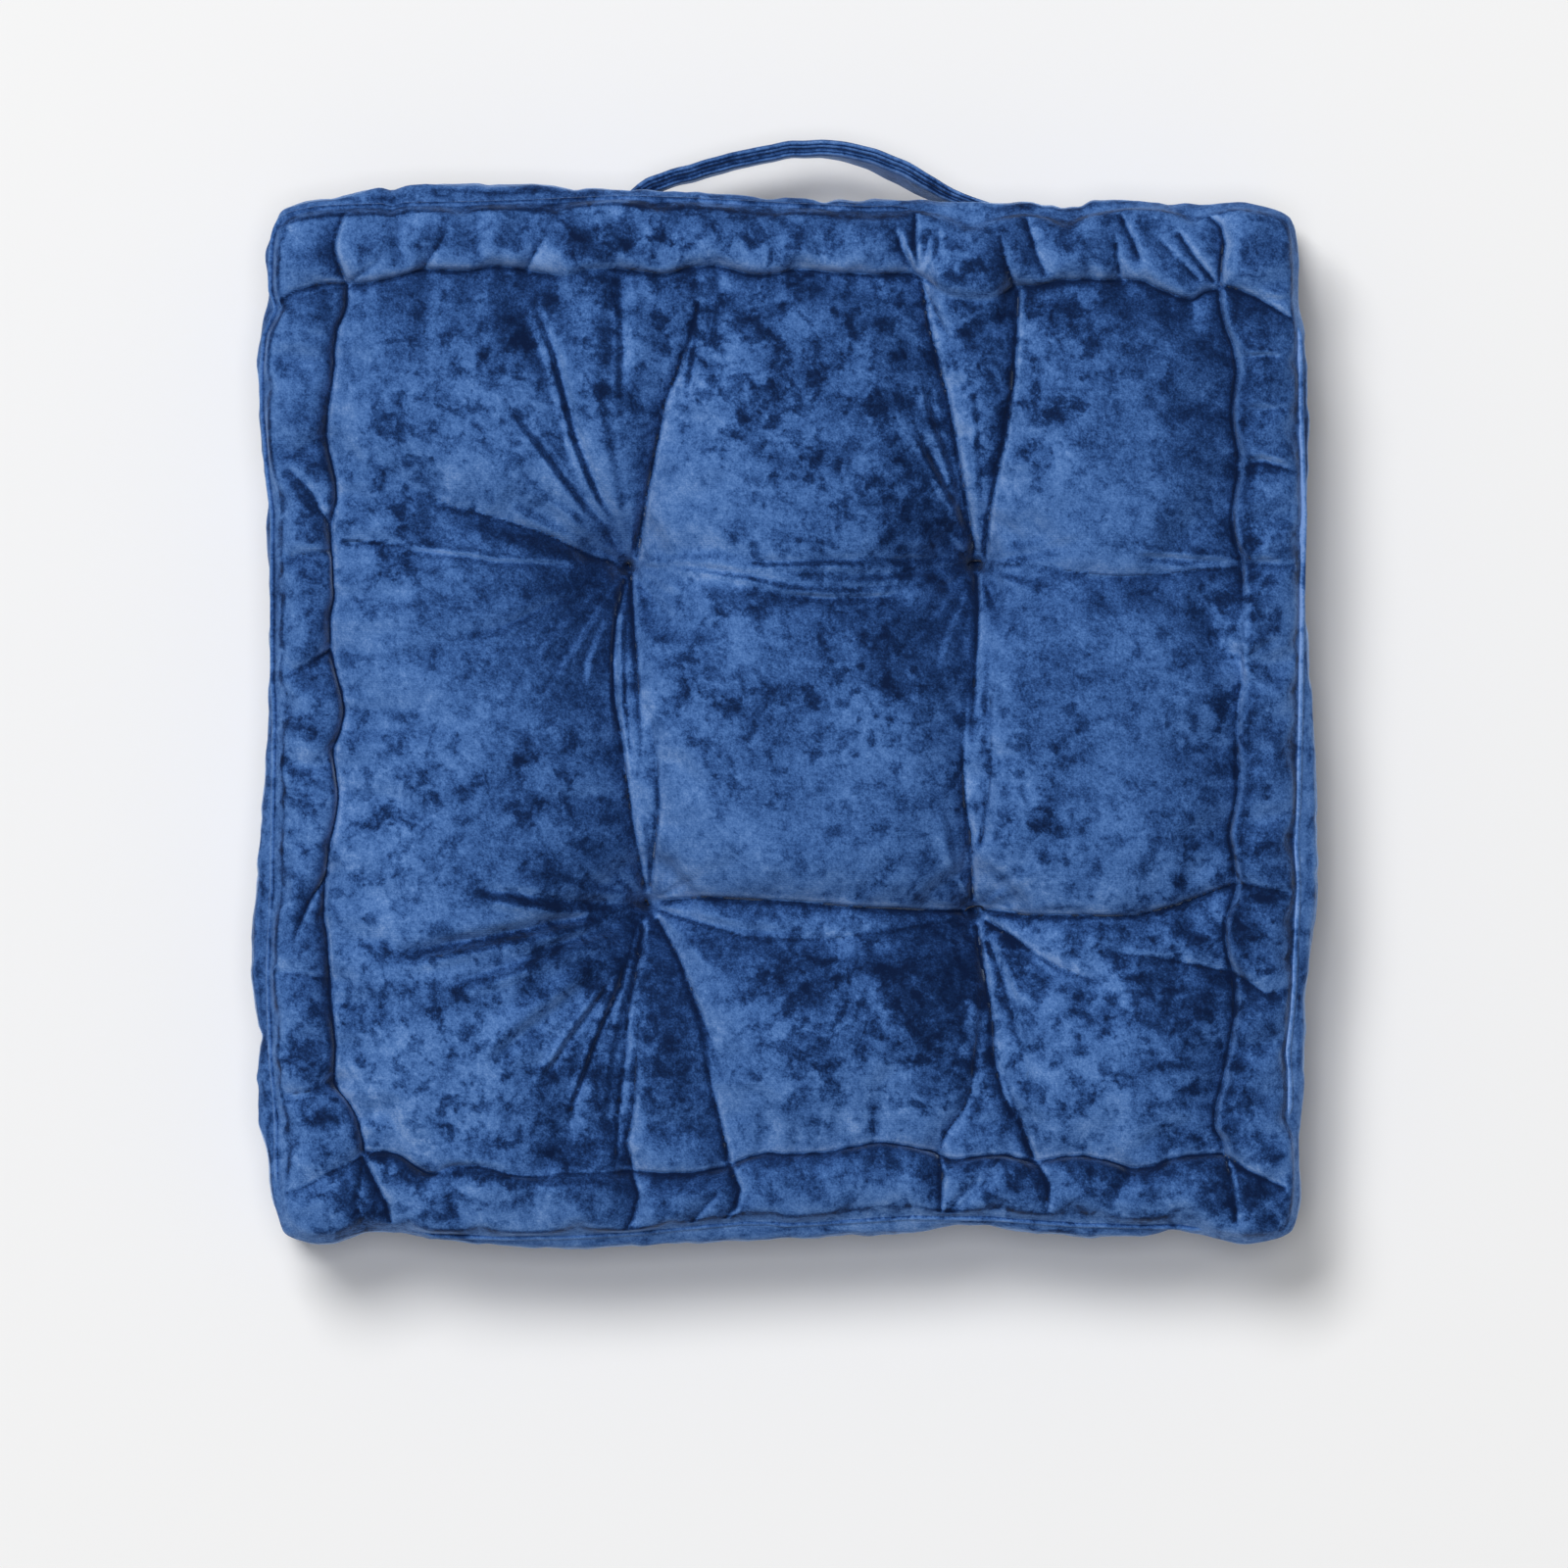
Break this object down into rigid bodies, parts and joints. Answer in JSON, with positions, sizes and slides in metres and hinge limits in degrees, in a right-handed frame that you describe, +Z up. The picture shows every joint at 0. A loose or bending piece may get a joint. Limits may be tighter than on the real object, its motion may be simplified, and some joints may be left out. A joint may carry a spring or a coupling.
{
  "type": "floor pillow",
  "caption": "Square velvet floor pillow with a stitched roll round each face, thread tufts and a folded strap handle on one side.",
  "frame": {"origin": "on the floor, under the middle of the cushion, where its flat underside rests", "axes": "+Z up out of the sitting face, +Y towards the side with the handle, +X to the right seen from above with the handle at the top"},
  "size_m": [0.516, 0.5372, 0.111],
  "materials": {
    "velvet_panel": "crushed velvet",
    "velvet_welt": "crushed velvet",
    "velvet_strap": "crushed velvet"
  },
  "bodies": {
    "root": {"cushion": "velvet_panel", "upper_welt": "velvet_welt", "lower_welt": "velvet_welt", "handle_strap": "velvet_strap"}
  },
  "joints": []
}
